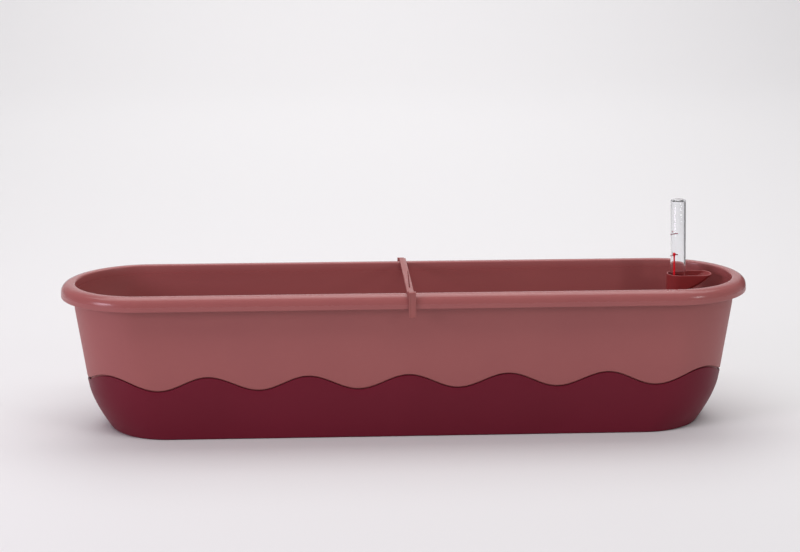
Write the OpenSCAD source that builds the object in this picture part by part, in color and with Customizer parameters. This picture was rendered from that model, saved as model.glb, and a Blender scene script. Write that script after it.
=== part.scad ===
// Self watering balcony planter, 80 cm class: light trough nested in a darker
// water bowl, filler shaft with a clear level gauge and float, centre brace,
// four felt wicks and an overflow plug. Millimetres, +Z up, +X along the length,
// +Y to the back. Origin: centre of the flat underside of the bowl.

/* [Overall] */
// overall length of the rolled rim
rim_length = 790; // [700:5:900]
// overall width of the rolled rim
rim_width = 190; // [170:2:210]
// height of the rim crown above the ground
rim_height = 170; // [160:1:185]

/* [Trough walls] */
// half width of the outer wall at the parting line
wall_half = 76; // [70:0.5:80]
// half length of the outer wall at the parting line
wall_end = 368.5; // [340:0.5:375]
// wall thickness of the trough
wall_t = 2.4; // [1.8:0.1:3]
// sideways lean of the long walls, mm per mm of height
side_draft = 0.042; // [0.01:0.002:0.06]
// outward lean of the end walls, mm per mm of height
end_draft = 0.145; // [0.05:0.005:0.17]
// underside of the perforated floor of the trough
floor_z = 52; // [46:0.5:54]
// thickness of that floor
floor_t = 2.5; // [2:0.1:4]

/* [Parting line] */
// mean height of the wave between trough and bowl
wave_z = 66.3; // [62:0.1:70]
// height of the wave either side of its mean
wave_amp = 7.9; // [0:0.1:9]
// pitch of the wave along the straight sides
wave_pitch = 112.5; // [90:0.5:150]
// open gap between trough and bowl along the wave
wave_gap = 1.4; // [0.8:0.1:2]
// how much wider that gap is at the middle of each end
end_gap = 2; // [0:0.1:3]
// sideways play between the skirt and the bowl
skirt_gap = 0.6; // [0.4:0.1:1]

/* [Bowl] */
// wall thickness of the bowl
bowl_t = 2.5; // [2:0.1:3.2]
// thickness of the bottom plate
base_t = 2.4; // [2:0.1:4]
// pull-in of the end walls at the ground
end_tuck = 26.5; // [16:0.5:28]
// pull-in of the long walls at the ground
side_tuck = 4.2; // [2:0.2:8]
// outer radius of a support post
post_r = 7; // [5:0.5:9]
// height of the overflow opening
overflow_z = 42; // [34:1:44]
// position of the overflow along the back
overflow_x = -200; // [-240:5:-130]

/* [Filler shaft] */
// centre of the foot of the gauge tube, along the length
gauge_x = 322.6; // [320:0.1:323]
// centre of the gauge tube, towards the back
gauge_y = 24.5; // [18:0.5:28]
// outer length of the filler mouth
mouth_l = 53; // [46:0.5:54]
// outer width of the filler mouth
mouth_w = 29; // [26:1:30]
// top edge of the filler mouth
mouth_z = 164.5; // [160:0.5:166]
// outer radius of the round shaft below the mouth
shaft_r = 12.3; // [11.8:0.1:13]
// wall thickness of the shaft
shaft_t = 1.8; // [1.4:0.1:2.2]

/* [Level gauge] */
// outer radius of the clear tube
tube_r = 8.85; // [8:0.05:9]
// wall thickness of the clear tube
tube_t = 1.2; // [1:0.1:1.5]
// top of the clear tube
tube_top = 253; // [235:1:260]
// lean of the tube in its loose socket, degrees
tube_lean = 1.7; // [0:0.1:2]
// travel of the float from the low to the high mark
float_travel = 26; // [20:1:28]
// radius of the foam float
float_r = 9; // [8:0.1:9.5]
// radius of the float stem at its foot
stem_r = 1.1; // [0.9:0.05:1.3]
// radius of the head of the stem
head_r = 1.8; // [1.5:0.05:1.9]
// top of the stem at the low mark
stem_top = 190; // [184:0.5:192]

/* [Brace] */
// position of the brace along the length
brace_x = 1; // [-20:1:20]
// width of the brace
brace_w = 7.4; // [7:0.1:12]
// how far each tab is set off to one side, which clears its neighbour on the rim
tab_shift = 2; // [0:0.1:3]
// lower end of the outer tabs
tab_z = 145; // [140:0.5:150]

/* [Wicks] */
// width of a felt wick
wick_w = 28; // [20:1:34]
// thickness of a felt wick
wick_t = 3; // [2:0.5:3.5]
// length of the end that lies on the floor
wick_lie = 44; // [30:1:60]

/* [Hidden] */

// colours
rose = [0.557, 0.329, 0.325];
bordeaux = [0.353, 0.102, 0.149];
deep_red = [0.361, 0.118, 0.126];
clear_blue = [0.86, 0.9, 0.92, 0.45];
signal_red = [0.863, 0.078, 0.137];
foam_white = [0.9, 0.9, 0.88];
felt_grey = [0.8, 0.79, 0.75];
plug_black = [0.12, 0.12, 0.13];

// segments along one straight side and round one end
n_side = 48;
n_end = 20;
n_ring = 2 * (n_side + n_end);

// rim section: radius about the end centres and height, from the rim's size
rim_r = rim_width / 2;
rim_s = rim_length / 2 - rim_r;
rim_t = 2.4;
lip_z = rim_height - 15.3;

// level at which the walls start to tuck in below the parting line
tuck_z = 60;
// height where the end walls turn steeper
steep_z = 140;
// straight half length at the parting line
wave_s = wall_end - wall_half;
// number of waves from the middle of a side to the middle of an end
wave_count = 3.5;

// half width and half length of the outer wall at height z
function tuck(z) = pow(max(tuck_z - z, 0) / tuck_z, 1.65);
function half_w(z) = wall_half + side_draft * max(z - tuck_z, 0) - side_tuck * tuck(z);
function half_l(z) = wall_end + end_draft * (min(max(z, tuck_z), steep_z) - tuck_z)
  + 0.04 * max(z - steep_z, 0) - end_tuck * tuck(z);

// point number i of a ring with straight half length s and end radius r
function ring_point(i, s, r, z) =
  i < n_side ? [s * (2 * i / n_side - 1), -r, z]
  : i < n_side + n_end ? let(a = -90 + 180 * (i - n_side) / n_end) [s + r * cos(a), r * sin(a), z]
  : i < 2 * n_side + n_end ? [s * (1 - 2 * (i - n_side - n_end) / n_side), r, z]
  : let(a = 90 + 180 * (i - 2 * n_side - n_end) / n_end) [-s + r * cos(a), r * sin(a), z];

// how far point i is round an end: 0 at the middle of the end, 1 where the side starts
function end_share(i) =
  i < n_side + n_end ? abs(2 * (i - n_side) / n_end - 1)
  : abs(2 * (i - 2 * n_side - n_end) / n_end - 1);
function on_side(i) = i < n_side || (i >= n_side + n_end && i < 2 * n_side + n_end);
function side_x(i) = i < n_side ? wave_s * (2 * i / n_side - 1)
  : wave_s * (1 - 2 * (i - n_side - n_end) / n_side);
function past_side(i) = on_side(i) ? 0 : 1 - end_share(i);
// the wave leaves the side at its own pitch, then stretches towards the middle of the end
turns_left = wave_count - wave_s / wave_pitch;
lead = min(PI / 2 * wall_half / wave_pitch / turns_left, 1.5);
function wave_turns(i) = on_side(i) ? abs(side_x(i)) / wave_pitch
  : let(p = past_side(i)) wave_count - turns_left * (1 - lead * p + (lead - 1) * pow(p, 3));
function wave(i) = wave_z + wave_amp * cos(360 * wave_turns(i));
function half_gap(i) = (wave_gap + end_gap * pow(past_side(i), 2)) / 2;

// a wall ring: point i at height z, moved in by inset
function wall_point(i, z, inset) = ring_point(i, half_l(z) - half_w(z), half_w(z) - inset, z);
function wall_ring(z, inset) = [for (i = [0 : n_ring - 1]) wall_point(i, z, inset)];
function wave_ring(way, inset) =
  [for (i = [0 : n_ring - 1]) wall_point(i, wave(i) + way * half_gap(i), inset)];
function rim_ring(r, z) = [for (i = [0 : n_ring - 1]) ring_point(i, rim_s, r, z)];

// closed wall from rings of n points that go once round its section
module swept_tube(rings, n) {
  m = len(rings);
  points = [for (r = rings) for (p = r) p];
  faces = [for (j = [0 : m - 1]) for (i = [0 : n - 1])
    let(a = j * n + i, b = j * n + (i + 1) % n)
    let(c = ((j + 1) % m) * n + (i + 1) % n, d = ((j + 1) % m) * n + i)
    for (f = [[a, d, c], [a, c, b]]) f];
  polyhedron(points = points, faces = faces, convexity = 10);
}

// wall of the trough or bowl, swept round the plan
module swept_wall(rings) {
  swept_tube(rings, n_ring);
}

// flat plate with two straight sides and two round ends
module stadium(s, r) {
  square([2 * s, 2 * r], center = true);
  for (side = [-1, 1]) translate([side * s, 0]) circle(r = r, $fn = 96);
}

// ---- water bowl ----
post_x = [-170, 0, 170];
post_y = 34;
post_bore = 4.6;
boss_r = 8;
plug_r = 4.4;
boss_out = 76.3;
boss_in = 68;

module support_post(x, y) {
  translate([x, y, base_t / 2])
    cylinder(r = post_r, h = floor_z - base_t / 2, $fn = 48);
}

module post_hollow(x, y) {
  translate([x, y, base_t + 4])
    cylinder(r = post_bore, h = floor_z, $fn = 48);
}

module reservoir_base() {
  rib_h = 9;
  rib_t = 2.2;
  color(bordeaux) difference() {
    union() {
      swept_wall([
        wall_ring(base_t / 2, 0),
        wall_ring(6, 0),
        wall_ring(14, 0),
        wall_ring(26, 0),
        wall_ring(40, 0),
        wave_ring(-1, 0),
        wave_ring(-1, bowl_t),
        wall_ring(40, bowl_t),
        wall_ring(26, bowl_t + 0.1),
        wall_ring(14, bowl_t + 0.3),
        wall_ring(6, bowl_t + 0.8),
        wall_ring(base_t / 2, bowl_t + 2.4)
      ]);
      linear_extrude(base_t)
        stadium(half_l(0) - half_w(0), half_w(0) - 0.3);
      for (x = post_x) {
        support_post(x, post_y);
        support_post(x, -post_y);
        translate([x - rib_t / 2, -60, base_t / 2]) cube([rib_t, 120, rib_h - base_t / 2]);
      }
      support_post(-300, 0);
      support_post(288, -30);
      // boss of the overflow in the back wall
      translate([overflow_x, boss_out, overflow_z]) rotate([90, 0, 0])
        cylinder(r = boss_r, h = boss_out - boss_in, $fn = 48);
    }
    for (x = post_x) {
      post_hollow(x, post_y);
      post_hollow(x, -post_y);
    }
    post_hollow(-300, 0);
    post_hollow(288, -30);
    translate([overflow_x, boss_out + 5, overflow_z]) rotate([90, 0, 0])
      cylinder(r = plug_r + 0.05, h = 20, $fn = 48);
  }
}

// stopper of the overflow: pin, flange and grip on one axis
module overflow_plug() {
  flange_r = 7;
  flange_t = 2;
  grip_r = 3.4;
  grip_l = 5;
  color(plug_black) translate([overflow_x, boss_out, overflow_z]) rotate([-90, 0, 0])
    rotate_extrude($fn = 48) polygon([
      [0, boss_in - boss_out],
      [plug_r - 0.8, boss_in - boss_out],
      [plug_r, boss_in - boss_out + 1.2],
      [plug_r, 0],
      [flange_r, 0],
      [flange_r, flange_t - 0.6],
      [flange_r - 0.6, flange_t],
      [grip_r - 0.6, flange_t],
      [grip_r, flange_t + grip_l - 0.8],
      [grip_r - 0.8, flange_t + grip_l],
      [0, flange_t + grip_l]
    ]);
}

// ---- trough ----
ledge_in = bowl_t + skirt_gap;
skirt_in = ledge_in + wall_t;
skirt_bottom = floor_z - 2;
shaft_flange_r = 17.5;
// the shaft's left side is one vertical line, left of the tube
shaft_left = gauge_x - 13.8;
shaft_cx = shaft_left + shaft_r;
wick_x = [-250, -90, 90, 236];
hole_r = 2.5;
hole_pitch_x = 28;
hole_pitch_y = 24;

// drain holes, kept clear of posts, wicks and shaft
function near(x, y, px, py, dx, dy) = abs(x - px) < dx && abs(y - py) < dy;
function on_post(x, y) =
  len([for (p = post_x) for (s = [-1, 1]) if (near(x, y, p, s * post_y, 12, 12)) 1])
  + (near(x, y, -300, 0, 12, 12) ? 1 : 0) + (near(x, y, 288, -30, 12, 12) ? 1 : 0) > 0;
function on_wick(x, y) =
  len([for (w = wick_x) if (x > w - 6 && x < w + wick_lie + 5 && abs(y) < wick_w / 2 + 5) 1]) > 0;
function on_shaft(x, y) = x > shaft_cx - 24 && y > -4;
drain_holes = [for (ix = [-11 : 11]) for (iy = [-2 : 2])
  let(x = ix * hole_pitch_x, y = iy * hole_pitch_y)
  if (!on_post(x, y) && !on_wick(x, y) && !on_shaft(x, y)) [x, y]];

module planter_body() {
  color(rose) union() {
    swept_wall([
      wall_ring(skirt_bottom, ledge_in + 0.3),
      wave_ring(1, ledge_in),
      wave_ring(1, 0),
      wall_ring(80, 0),
      wall_ring(steep_z, 0),
      wall_ring(rim_height - 10, 0),
      rim_ring(rim_r - 10.5, lip_z + 9.6),
      rim_ring(rim_r - 4.5, lip_z + 6.8),
      rim_ring(rim_r - rim_t, lip_z),
      rim_ring(rim_r, lip_z),
      rim_ring(rim_r, lip_z + 3.8),
      rim_ring(rim_r - 1.4, lip_z + 7.9),
      rim_ring(rim_r - 5, rim_height - 3.8),
      rim_ring(rim_r - 9.5, rim_height - 1.2),
      rim_ring(rim_r - 13.8, rim_height),
      rim_ring(rim_r - 15.6, rim_height - 0.4),
      rim_ring(rim_r - 16.6, rim_height - 1.7),
      wall_ring(rim_height - 10, wall_t),
      wall_ring(steep_z, wall_t),
      wall_ring(90, wall_t),
      wall_ring(78, skirt_in),
      wall_ring(skirt_bottom, skirt_in + 0.3)
    ]);
    difference() {
      translate([0, 0, floor_z]) linear_extrude(floor_t)
        stadium(half_l(floor_z) - half_w(floor_z), half_w(floor_z) - ledge_in - wall_t / 2 - 0.2);
      for (p = drain_holes) translate([p[0], p[1], floor_z - 1])
        cylinder(r = hole_r, h = floor_t + 2, $fn = 24);
      for (x = wick_x) translate([x - wick_t / 2 - 0.3, -wick_w / 2 - 0.5, floor_z - 1])
        cube([wick_t + 0.6, wick_w + 1, floor_t + 2]);
      translate([shaft_cx, gauge_y, floor_z - 1])
        cylinder(r = shaft_r + 0.3, h = floor_t + 2, $fn = 64);
    }
  }
}

// ---- filler shaft ----
shaft_foot = 6;
bend_z = mouth_z - 20.5;
guide_r = tube_r + 3.2;
guide_z = mouth_z - 17.5;
guide_h = 12.5;
guide_play = 0.1;
n_shaft = 40;

// how far the mouth has opened at height z: 0 in the round shaft, 1 at the edge
function opened(z) =
  let(u = min(max((z - bend_z) / (mouth_z - bend_z), 0), 1)) 1 - pow(1 - u, 1.35);
// half width and right side of the shaft at height z
function shaft_w(z) = shaft_r + (mouth_w / 2 - shaft_r) * opened(z);
function shaft_right(z) = shaft_left + 2 * shaft_r + (mouth_l - 2 * shaft_r) * opened(z);
// the right end is tighter than the left one where the mouth is open
function tip_r(z) = shaft_w(z) - 5 * opened(z);
function shaft_point(k, z, t) =
  let(a = 360 * (k + 0.5) / n_shaft, w = shaft_w(z), q = tip_r(z))
  cos(a) < 0 ? [shaft_left + w + (w - t) * cos(a), gauge_y + (w - t) * sin(a), z]
  : [shaft_right(z) - q + (q - t) * cos(a), gauge_y + (w - t) * sin(a), z];
function shaft_ring(z, t) = [for (k = [0 : n_shaft - 1]) shaft_point(k, z, t)];

// puts its children on the leaning axis of the gauge tube, height zero at its seat
module on_tube() {
  translate([gauge_x, gauge_y, guide_z + 2]) rotate([0, -tube_lean, 0]) children();
}

module filler_shaft() {
  heights = concat([shaft_foot, bend_z], [for (u = [1 : 6]) bend_z + u * (mouth_z - 0.5 - bend_z) / 6]);
  up = [for (z = heights) shaft_ring(z, 0)];
  down = [for (n = [len(heights) - 1 : -1 : 0]) shaft_ring(heights[n], shaft_t)];
  color(deep_red) difference() {
    union() {
      swept_tube(concat(up, [shaft_ring(mouth_z, 0.5), shaft_ring(mouth_z, shaft_t - 0.5)], down), n_shaft);
      // flange that rests on the floor of the trough
      translate([shaft_cx, gauge_y, floor_z + floor_t]) difference() {
        cylinder(r = shaft_flange_r, h = 2, $fn = 64);
        translate([0, 0, -1]) cylinder(r = shaft_r - shaft_t / 2, h = 4, $fn = 64);
      }
      // socket that holds the gauge tube upright
      translate([gauge_x, gauge_y, guide_z]) cylinder(r = guide_r, h = guide_h, $fn = 64);
      // crossbars under the float
      for (turn = [0, 90]) translate([shaft_cx, gauge_y, shaft_foot + 1]) rotate(turn)
        translate([-shaft_r + 0.8, -1.2, -0.5]) cube([2 * shaft_r - 1.6, 2.4, 1.8]);
    }
    // bore for the tube above its seat, and the smaller opening through the seat
    on_tube() cylinder(r = tube_r + guide_play, h = 30, $fn = 64);
    on_tube() translate([0, 0, -4]) cylinder(r = tube_r - 0.95, h = 6, $fn = 48);
    // water slots through the foot
    for (turn = [45, 135]) translate([shaft_cx, gauge_y, shaft_foot + 2.5]) rotate(turn)
      translate([-20, -3, 0]) cube([40, 6, 12]);
  }
}

// ---- level gauge ----
tube_l = tube_top - guide_z - 2;
float_h = 22;
float_z = shaft_foot + 2.5;
stem_from = [shaft_cx, gauge_y, float_z + 10];
stem_to = [gauge_x - 6, gauge_y - 2.4, stem_top - head_r];

module gauge_tube() {
  r = tube_r;
  ri = tube_r - tube_t;
  round_r = 2.5;
  arc = [for (a = [0 : 15 : 90]) [r - round_r + round_r * cos(a), tube_l - round_r + round_r * sin(a)]];
  color(clear_blue) on_tube() difference() {
    rotate_extrude($fn = 64)
      polygon(concat([[ri, 0], [r, 0]], arc,
        [[0, tube_l], [0, tube_l - 2], [ri - 1, tube_l - 2], [ri, tube_l - 3]]));
    // air vent at the back, below the closed top
    translate([0, 4, tube_l - 9]) rotate([-90, 0, 0]) cylinder(r = 0.8, h = 8, $fn = 24);
  }
}

// places its children on the leaning axis of the stem, foot at zero
module on_stem() {
  run = stem_to - stem_from;
  tilt = atan2(norm([run[0], run[1]]), run[2]);
  turn = atan2(run[1], run[0]);
  translate(stem_from) rotate([0, tilt, turn]) children();
}

module float() {
  c = 1.5;
  color(foam_white) difference() {
    translate([shaft_cx, gauge_y, float_z]) rotate_extrude($fn = 48) polygon([
      [0, 0],
      [float_r - c, 0],
      [float_r, c],
      [float_r, float_h - c],
      [float_r - c, float_h],
      [0, float_h]
    ]);
    on_stem() cylinder(r = stem_r, h = 20, $fn = 32);
  }
}

// stem with a straight foot, a long taper and a flared round head
module float_stem() {
  l = norm(stem_to - stem_from);
  thin = 0.7;
  cap = [for (a = [0 : 15 : 75]) [head_r * cos(a), l + head_r * sin(a)]];
  color(signal_red) on_stem() rotate_extrude($fn = 32) polygon(concat(
    [[0, 0], [stem_r, 0], [stem_r, 20], [thin, l - 6], [head_r - 0.5, l - 1.2]], cap, [[0, l + head_r]]));
}

// ---- wicks ----
wick_low = 6;

module wick(n) {
  x = wick_x[n - 1];
  top = floor_z + floor_t;
  color(felt_grey) union() {
    translate([x - wick_t / 2, -wick_w / 2, wick_low]) cube([wick_t, wick_w, top + wick_t - wick_low]);
    translate([x, -wick_w / 2, top]) cube([wick_lie, wick_w, wick_t]);
  }
}

// ---- centre brace ----
brace_gap = 0.3;
brace_under = rim_height + brace_gap;
tab_t = 2.6;
brace_out = rim_r + 0.4 + tab_t;

// the bar is thick at the front rim and thins out towards the back rim
function brace_top(y) = rim_height + 3.15 - 1.45 * y / brace_out;

// section of one end of the brace, from the tab's corner to the inner hook; end is -1 or 1
function brace_end(end) =
  let(o = rim_r + 0.4, q = brace_out)
  [for (p = [
    [q - 1.2, brace_top(end * q)],
    [q, brace_top(end * q) - 1.2],
    [q, tab_z + 1],
    [q - 1, tab_z],
    [o, tab_z],
    [o, lip_z + 5],
    [rim_r - 3, rim_height - 3],
    [rim_r - 8, brace_under],
    [rim_r - 17.4, brace_under],
    [rim_r - 18, rim_height - 8],
    [rim_r - 20.2, rim_height - 8],
    [rim_r - 21.2, brace_under]
  ]) [end * p[0], p[1]]];

module centre_brace() {
  front = brace_end(-1);
  n = len(front);
  outline = concat(brace_end(1), [for (k = [n - 1 : -1 : 0]) front[k]]);
  tab_w = brace_w + 0.5;
  edge = rim_r - 2;
  all_w = tab_w + 2 * tab_shift;
  color(rose) difference() {
    translate([brace_x - all_w / 2, 0, 0]) rotate([90, 0, 90])
      linear_extrude(all_w) polygon(outline);
    // the bar is narrower than the tabs reach
    for (side = [-1, 1]) translate([brace_x + side * (brace_w / 2 + 5) - 5, -edge, rim_height - 20])
      cube([10, 2 * edge, 40]);
    // each tab is set off to its own side
    for (end = [-1, 1]) for (side = [-1, 1])
      translate([brace_x - end * tab_shift + side * (tab_w / 2 + 5) - 5, end * (edge + 10) - 10, tab_z - 5])
        cube([10, 20, 60]);
    // slanting slot, narrow at its far end
    translate([brace_x, 0, rim_height - 5]) linear_extrude(30)
      polygon([[-0.8, -72], [0.8, -72], [2.9, 18], [2.3, 18]]);
  }
}

reservoir_base();
overflow_plug();
planter_body();
wick(1);  // wick_1
wick(2);  // wick_2
wick(3);  // wick_3
wick(4);  // wick_4
filler_shaft();
gauge_tube();
float();
float_stem();
centre_brace();
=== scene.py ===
# %% [markdown]
# A self watering planter, 80 cm long. A light trough is nested in a darker water bowl,
# and the two meet along a wavy line. A filler shaft stands in one end, with a clear
# gauge tube and a red float stem in it, and a brace ties the two long rims together.
# The engineering model gives each piece's place and how it moves. This lesson gives each
# one its finished shape and surface. All sizes are in millimetres until a mesh is made.

# %% Load the frame
import math

import bmesh
import bpy
from mathutils import Matrix, Vector


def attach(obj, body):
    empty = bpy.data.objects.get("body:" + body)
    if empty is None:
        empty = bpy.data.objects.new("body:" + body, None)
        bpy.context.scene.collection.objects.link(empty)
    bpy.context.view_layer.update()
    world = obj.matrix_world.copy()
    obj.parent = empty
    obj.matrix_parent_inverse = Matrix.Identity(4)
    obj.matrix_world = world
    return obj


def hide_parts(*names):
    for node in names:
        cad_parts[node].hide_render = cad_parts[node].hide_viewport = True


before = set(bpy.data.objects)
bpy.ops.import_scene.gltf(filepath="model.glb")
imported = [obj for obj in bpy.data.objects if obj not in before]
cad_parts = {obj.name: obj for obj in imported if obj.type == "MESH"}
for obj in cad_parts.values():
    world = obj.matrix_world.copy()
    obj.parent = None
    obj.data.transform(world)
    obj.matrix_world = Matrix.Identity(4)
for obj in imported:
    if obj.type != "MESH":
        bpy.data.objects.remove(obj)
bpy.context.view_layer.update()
MM = 0.001


# %% [markdown]
# The camera comes first, because every later choice is judged through it. It stands
# about two metres in front of the planter, a little above it, with a long lens, so the
# long sides stay nearly parallel. It is aimed by a direction and not by angles, which
# keeps the numbers easy to check. The picture is developed with the standard transform,
# because a filmic one would grey the pigment that the planter is known by.

# %% Camera
scene = bpy.context.scene
camera_data = bpy.data.cameras.new("studio_camera")
camera_data.sensor_width = 36.0
camera_data.lens = 85.5
camera_data.clip_end = 50.0
camera = bpy.data.objects.new("studio_camera", camera_data)
scene.collection.objects.link(camera)
camera_at = Vector((-104.5, -2136.3, 661.5)) * MM
camera_aim = Vector((-6.28, 0.0, 170.99)) * MM
turn = (camera_aim - camera_at).to_track_quat("-Z", "Y").to_matrix().to_4x4()
CAMERA_ROLL = -0.0026
roll = Matrix.Rotation(CAMERA_ROLL, 4, "Z")
camera.matrix_world = Matrix.Translation(camera_at) @ turn @ roll
scene.camera = camera
scene.view_settings.view_transform = "Standard"
print("camera distance, m:", round((camera_aim - camera_at).length, 3))


# %% [markdown]
# Every material and every rule-driven shape here is a graph of nodes. Wiring those by
# hand hides the idea, so two small classes let Python operators build the graph: a Wire
# is an output that can be added and multiplied, and a Board makes every other node from
# its type, its settings and what goes into its sockets.

# %% Node helpers
class Wire:
    """One output socket. Arithmetic on it adds Math nodes to its board."""

    def __init__(self, board, socket):
        self.board = board
        self.socket = socket

    def maths(self, operation, *values):
        return self.board.add("ShaderNodeMath", {"operation": operation},
                              dict(enumerate(values)))[0]

    def __add__(self, other): return self.maths("ADD", self, other)
    def __radd__(self, other): return self.maths("ADD", other, self)
    def __sub__(self, other): return self.maths("SUBTRACT", self, other)
    def __rsub__(self, other): return self.maths("SUBTRACT", other, self)
    def __mul__(self, other): return self.maths("MULTIPLY", self, other)
    def __rmul__(self, other): return self.maths("MULTIPLY", other, self)
    def __truediv__(self, other): return self.maths("DIVIDE", self, other)
    def __rtruediv__(self, other): return self.maths("DIVIDE", other, self)
    def __pow__(self, other): return self.maths("POWER", self, other)
    def at_least(self, other): return self.maths("MAXIMUM", self, other)
    def at_most(self, other): return self.maths("MINIMUM", self, other)
    def size(self): return self.maths("ABSOLUTE", self)
    def cosine(self): return self.maths("COSINE", self)


class Board:
    """A node tree that is filled one node at a time."""

    def __init__(self, tree):
        self.tree = tree
        tree.nodes.clear()

    def add(self, kind, settings=None, sockets=None):
        node = self.tree.nodes.new(kind)
        for key, value in (settings or {}).items():
            if key == "stops":
                self.set_stops(node.color_ramp, value)
            else:
                setattr(node, key, value)
        for key, value in (sockets or {}).items():
            if isinstance(value, Wire):
                self.tree.links.new(value.socket, node.inputs[key])
            else:
                node.inputs[key].default_value = value
        return Outputs(self, node)

    @staticmethod
    def set_stops(ramp, stops):
        while len(ramp.elements) < len(stops):
            ramp.elements.new(1.0)
        for element, (place, colour) in zip(ramp.elements, stops):
            element.position = place
            element.color = colour if len(colour) == 4 else (*colour, 1.0)


class Outputs:
    """The outputs of a node, each as a Wire."""

    def __init__(self, board, node):
        self.board = board
        self.node = node

    def __getitem__(self, key):
        return Wire(self.board, self.node.outputs[key])


def mix_colour(board, factor, first, second):
    """Mixes two colours by a number from 0 to 1."""
    return board.add("ShaderNodeMix", {"data_type": "RGBA"},
                     {0: factor, 6: first, 7: second})[2]


def noise(board, where, scale, detail=2.0, roughness=0.5):
    """Soft random values from 0 to 1 over a piece, features about 1/scale metres wide."""
    return board.add("ShaderNodeTexNoise", {"noise_dimensions": "3D"},
                     {"Vector": where, "Scale": scale, "Detail": detail,
                      "Roughness": roughness})[0]


def linear(red, green, blue):
    """A screen colour from 0 to 255 as the linear colour that shaders use."""
    def one(v):
        v /= 255
        return v / 12.92 if v <= 0.04045 else ((v + 0.055) / 1.055) ** 2.4
    return (one(red), one(green), one(blue), 1.0)


# %% [markdown]
# The large pieces are moulded polypropylene. It looks satin because the steel mould is
# finely eroded: a grain of a few tenths of a millimetre scatters the light, and under it
# runs a broad, slow waviness where the wall shrank as it cooled. The tint shifts a little
# too, where the melt met the mould hotter or cooler. Four noises, each at its own real
# scale, give all of that, and none of them depends on where the camera stands. The mould
# of the trough is polished round the rim, so from a height upwards its plastic is glossier.

# %% Moulded plastic
GRAIN, SHRINK = 0.35, 0.25
POLISH_FADE = 0.014


def moulded_plastic(name, tint, deep, rough, polish=None, level=0.35):
    """Satin moulded plastic: a tint that drifts towards a deeper one, with mould grain.

    polish is (height in metres, roughness above it), for a mould that is polished there,
    and level is how strongly the surface reflects."""
    material = bpy.data.materials.new(name)
    material.use_nodes = True
    board = Board(material.node_tree)
    where = board.add("ShaderNodeTexCoord")["Object"]
    drift = noise(board, where, 9.0, 2.0)
    mottle = noise(board, where, 160.0, 3.0, 0.6)
    eroded = noise(board, where, 1900.0, 2.0, 0.6)
    waves = noise(board, where, 26.0, 1.0)
    share = ((drift - 0.5) * 1.3 + 0.5 + (mottle - 0.5) * 0.22).at_least(0.0).at_most(1.0)
    colour = mix_colour(board, share, tint, deep)
    gloss = rough + (mottle - 0.5) * 0.07 + (drift - 0.5) * 0.05
    if polish:
        height = board.add("ShaderNodeSeparateXYZ", {}, {"Vector": where})["Z"]
        start, polished = polish
        above = ((height - start) / POLISH_FADE).at_least(0.0).at_most(1.0)
        gloss = gloss + above * (polished - rough)
    slow = board.add("ShaderNodeBump", {}, {"Strength": SHRINK, "Distance": 0.0012,
                                            "Height": waves})[0]
    bump = board.add("ShaderNodeBump", {}, {"Strength": GRAIN, "Distance": 0.00006,
                                            "Height": eroded, "Normal": slow})[0]
    shader = board.add("ShaderNodeBsdfPrincipled", {}, {
        "Base Color": colour, "Roughness": gloss, "Normal": bump, "IOR": 1.49,
        "Specular IOR Level": level})[0]
    board.add("ShaderNodeOutputMaterial", {}, {"Surface": shader})
    print("material", name, "with", len(material.node_tree.nodes), "nodes")
    return material


trough_plastic = moulded_plastic("trough_plastic", linear(166, 93, 91), linear(158, 86, 86),
                                 rough=0.5, polish=(0.149, 0.22), level=0.5)
bowl_plastic = moulded_plastic("bowl_plastic", linear(113, 17, 41), linear(105, 14, 36),
                               rough=0.46, level=0.25)
shaft_plastic = moulded_plastic("shaft_plastic", linear(152, 58, 58), linear(143, 52, 53),
                                rough=0.34)
brace_plastic = moulded_plastic("brace_plastic", linear(164, 96, 93), linear(156, 89, 86),
                                rough=0.42)


# %% [markdown]
# The small pieces have finishes of their own. The gauge is clear polystyrene, which bends
# light like glass, so it gets full transmission and only a trace of haze from drawing. The
# felt is a mat of fibres with no direction, so two noises at fibre size make its speckle
# and its pile. The float is foam with closed cells, which a Voronoi pattern gives. The
# stem's red gets a weak painted glow, a little emitted light though it is no lamp, so that
# it stays red behind the tube's wall.

# %% Clear, printed, felt and foam finishes
def surface(name, colour, rough, height=None, depth=0.0001, strength=0.3, fixed=None):
    """A material from rules for colour, roughness and height; fixed sets plain sockets."""
    material = bpy.data.materials.new(name)
    material.use_nodes = True
    board = Board(material.node_tree)
    where = board.add("ShaderNodeTexCoord")["Object"]
    sockets = {"Base Color": colour(board, where), "Roughness": rough(board, where)}
    if height:
        sockets["Normal"] = board.add("ShaderNodeBump", {}, {
            "Strength": strength, "Distance": depth, "Height": height(board, where)})[0]
    sockets.update(fixed or {})
    shader = board.add("ShaderNodeBsdfPrincipled", {}, sockets)[0]
    board.add("ShaderNodeOutputMaterial", {}, {"Surface": shader})
    print("material", name, "with", len(material.node_tree.nodes), "nodes")
    return material


def speckle(first, second, scale, detail=3.0):
    """A colour rule: two tints mixed by a noise of that scale."""
    return lambda board, where: mix_colour(
        board, noise(board, where, scale, detail, 0.65), first, second)


def about(value, swing, scale):
    """A number rule: a value with a soft noise round it."""
    return lambda board, where: value + (noise(board, where, scale, 2.0) - 0.5) * swing


def cells(scale):
    """A height rule: small closed cells."""
    return lambda board, where: board.add(
        "ShaderNodeTexVoronoi", {}, {"Vector": where, "Scale": scale})[0]


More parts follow.
